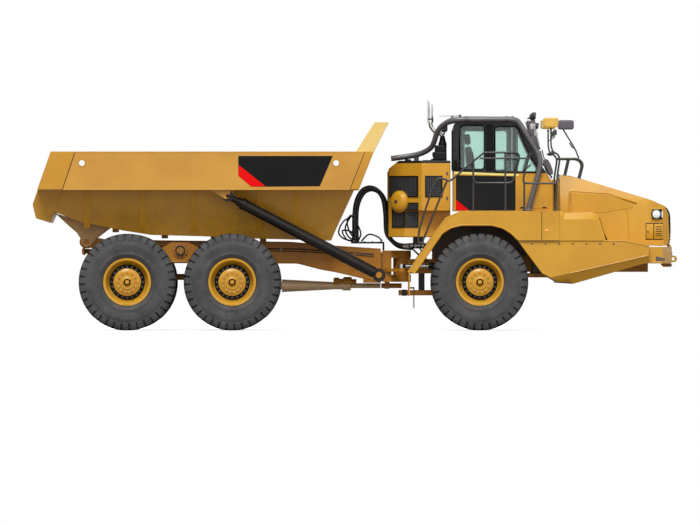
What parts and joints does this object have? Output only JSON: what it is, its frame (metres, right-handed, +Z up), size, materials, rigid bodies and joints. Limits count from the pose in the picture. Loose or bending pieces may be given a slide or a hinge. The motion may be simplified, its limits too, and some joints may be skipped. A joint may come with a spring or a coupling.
{
  "type": "articulated dump truck",
  "caption": "Articulated six-wheel-drive dump truck with a steering hitch, tilting load body, hollow cab and forward-tilting hood.",
  "frame": {"origin": "on the ground, under the middle of the machine's outside box", "axes": "+X forward, +Y to the machine's left, +Z up"},
  "size_m": [10.4649, 2.92, 3.753],
  "materials": {
    "yellow_paint": "gloss",
    "chassis_grey": "satin",
    "black_paint": "satin",
    "cab_black": "satin",
    "seat_cloth": "matte",
    "cab_glass": "gloss",
    "bright_pipe": "polished",
    "rod_chrome": "polished",
    "tyre_rubber": "matte"
  },
  "bodies": {
    "tractor": {"front_frame": "chassis_grey", "front_axle": "chassis_grey", "engine_block": "chassis_grey", "bumper": "chassis_grey", "cab_shell": "cab_black", "windscreen": "cab_glass", "rear_glass": "cab_glass", "side_glass_right": "cab_glass", "quarter_glass_left": "cab_glass", "rops_frame": "chassis_grey", "seat": "seat_cloth", "console": "cab_black", "cooling_box": "yellow_paint", "exhaust_stack": "bright_pipe", "intake_bowl": "black_paint", "handrail_right": "black_paint", "handrail_left": "black_paint", "grab_rail_left": "black_paint", "fender_left": "yellow_paint", "side_skirt_left": "yellow_paint", "mirror_left": "yellow_paint", "steer_barrel_left": "black_paint", "fender_right": "yellow_paint", "side_skirt_right": "yellow_paint", "mirror_right": "yellow_paint", "steer_barrel_right": "black_paint"},
    "hood": {"hood": "yellow_paint"},
    "cab_door": {"cab_door": "cab_black", "door_glass": "cab_glass"},
    "hitch": {"hitch": "yellow_paint"},
    "rear_chassis": {"rear_frame": "yellow_paint", "middle_axle": "chassis_grey", "rear_axle": "chassis_grey", "rear_shaft": "chassis_grey", "walking_beam_left": "yellow_paint", "walking_beam_right": "yellow_paint"},
    "dump_body": {"dump_body": "yellow_paint", "spill_guard": "yellow_paint"},
    "steer_rod_left": {"steer_rod_left": "rod_chrome"},
    "hoist_barrel_left": {"hoist_barrel_left": "black_paint"},
    "hoist_stage_left": {"hoist_stage_left": "rod_chrome"},
    "hoist_rod_left": {"hoist_rod_left": "rod_chrome"},
    "steer_rod_right": {"steer_rod_right": "rod_chrome"},
    "hoist_barrel_right": {"hoist_barrel_right": "black_paint"},
    "hoist_stage_right": {"hoist_stage_right": "rod_chrome"},
    "hoist_rod_right": {"hoist_rod_right": "rod_chrome"},
    "wheel_front_left": {"tyre_front_left": "tyre_rubber", "rim_front_left": "yellow_paint"},
    "wheel_front_right": {"tyre_front_right": "tyre_rubber", "rim_front_right": "yellow_paint"},
    "wheel_middle_left": {"tyre_middle_left": "tyre_rubber", "rim_middle_left": "yellow_paint"},
    "wheel_middle_right": {"tyre_middle_right": "tyre_rubber", "rim_middle_right": "yellow_paint"},
    "wheel_rear_left": {"tyre_rear_left": "tyre_rubber", "rim_rear_left": "yellow_paint"},
    "wheel_rear_right": {"tyre_rear_right": "tyre_rubber", "rim_rear_right": "yellow_paint"}
  },
  "joints": [
    {"name": "hood_tilt", "type": "hinge", "parent": "tractor", "child": "hood", "pos_m": [5.11, 0, 1.375], "axis": [0, 1, 0], "range_deg": [0, 70]},
    {"name": "door_swing", "type": "hinge", "parent": "tractor", "child": "cab_door", "pos_m": [1.68, 0.806, 2.4], "axis": [0, 0, 1], "range_deg": [0, 90]},
    {"name": "steering", "type": "hinge", "parent": "tractor", "child": "hitch", "pos_m": [0.758, 0, 1.043], "axis": [0, 0, 1], "range_deg": [-45, 45]},
    {"name": "frame_roll", "type": "hinge", "parent": "hitch", "child": "rear_chassis", "pos_m": [0.417, 0, 1.043], "axis": [-1, 0, 0], "range_deg": [-15, 15]},
    {"name": "bed_tilt", "type": "hinge", "parent": "rear_chassis", "child": "dump_body", "pos_m": [-4.374, 0, 1.44], "axis": [0, -1, 0], "range_deg": [0, 70]},
    {"name": "steer_slide_left", "type": "slide", "parent": "tractor", "child": "steer_rod_left", "axis": [-0.9978, 0.0659, 0], "range_m": [-0.3185, 0.3185]},
    {"name": "hoist_swing_left", "type": "hinge", "parent": "rear_chassis", "child": "hoist_barrel_left", "pos_m": [0.385, 0.7, 0.9], "axis": [0.456, 0.6576, 0.5997], "range_deg": [0, 7.25]},
    {"name": "hoist_stage_left", "type": "slide", "parent": "hoist_barrel_left", "child": "hoist_stage_left", "axis": [-0.8703, 0.1884, 0.4551], "range_m": [0, 1.372]},
    {"name": "hoist_rod_left", "type": "slide", "parent": "hoist_stage_left", "child": "hoist_rod_left", "axis": [-0.8703, 0.1884, 0.4551], "range_m": [0, 1.372]},
    {"name": "steer_slide_right", "type": "slide", "parent": "tractor", "child": "steer_rod_right", "axis": [-0.9978, -0.0659, 0], "range_m": [-0.3185, 0.3185]},
    {"name": "hoist_swing_right", "type": "hinge", "parent": "rear_chassis", "child": "hoist_barrel_right", "pos_m": [0.385, -0.7, 0.9], "axis": [-0.456, 0.6576, -0.5997], "range_deg": [0, 7.25]},
    {"name": "hoist_stage_right", "type": "slide", "parent": "hoist_barrel_right", "child": "hoist_stage_right", "axis": [-0.8703, -0.1884, 0.4551], "range_m": [0, 1.372]},
    {"name": "hoist_rod_right", "type": "slide", "parent": "hoist_stage_right", "child": "hoist_rod_right", "axis": [-0.8703, -0.1884, 0.4551], "range_m": [0, 1.372]},
    {"name": "roll_front_left", "type": "hinge", "parent": "tractor", "child": "wheel_front_left", "pos_m": [2.016, 1.1375, 0.785], "axis": [0, 1, 0], "continuous": true},
    {"name": "roll_front_right", "type": "hinge", "parent": "tractor", "child": "wheel_front_right", "pos_m": [2.016, -1.1375, 0.785], "axis": [0, 1, 0], "continuous": true},
    {"name": "roll_middle_left", "type": "hinge", "parent": "rear_chassis", "child": "wheel_middle_left", "pos_m": [-1.992, 1.1375, 0.785], "axis": [0, 1, 0], "continuous": true},
    {"name": "roll_middle_right", "type": "hinge", "parent": "rear_chassis", "child": "wheel_middle_right", "pos_m": [-1.992, -1.1375, 0.785], "axis": [0, 1, 0], "continuous": true},
    {"name": "roll_rear_left", "type": "hinge", "parent": "rear_chassis", "child": "wheel_rear_left", "pos_m": [-3.692, 1.1375, 0.785], "axis": [0, 1, 0], "continuous": true},
    {"name": "roll_rear_right", "type": "hinge", "parent": "rear_chassis", "child": "wheel_rear_right", "pos_m": [-3.692, -1.1375, 0.785], "axis": [0, 1, 0], "continuous": true}
  ],
  "couplings": [
    {"joint": "steer_slide_left", "follows": "steering", "m_per_rad": 0.40514},
    {"joint": "hoist_swing_left", "follows": "bed_tilt", "ratio": 0.10291},
    {"joint": "hoist_stage_left", "follows": "bed_tilt", "m_per_rad": 1.121},
    {"joint": "hoist_rod_left", "follows": "bed_tilt", "m_per_rad": 1.121},
    {"joint": "steer_slide_right", "follows": "steering", "m_per_rad": -0.40514},
    {"joint": "hoist_swing_right", "follows": "bed_tilt", "ratio": 0.10291},
    {"joint": "hoist_stage_right", "follows": "bed_tilt", "m_per_rad": 1.121},
    {"joint": "hoist_rod_right", "follows": "bed_tilt", "m_per_rad": 1.121}
  ]
}
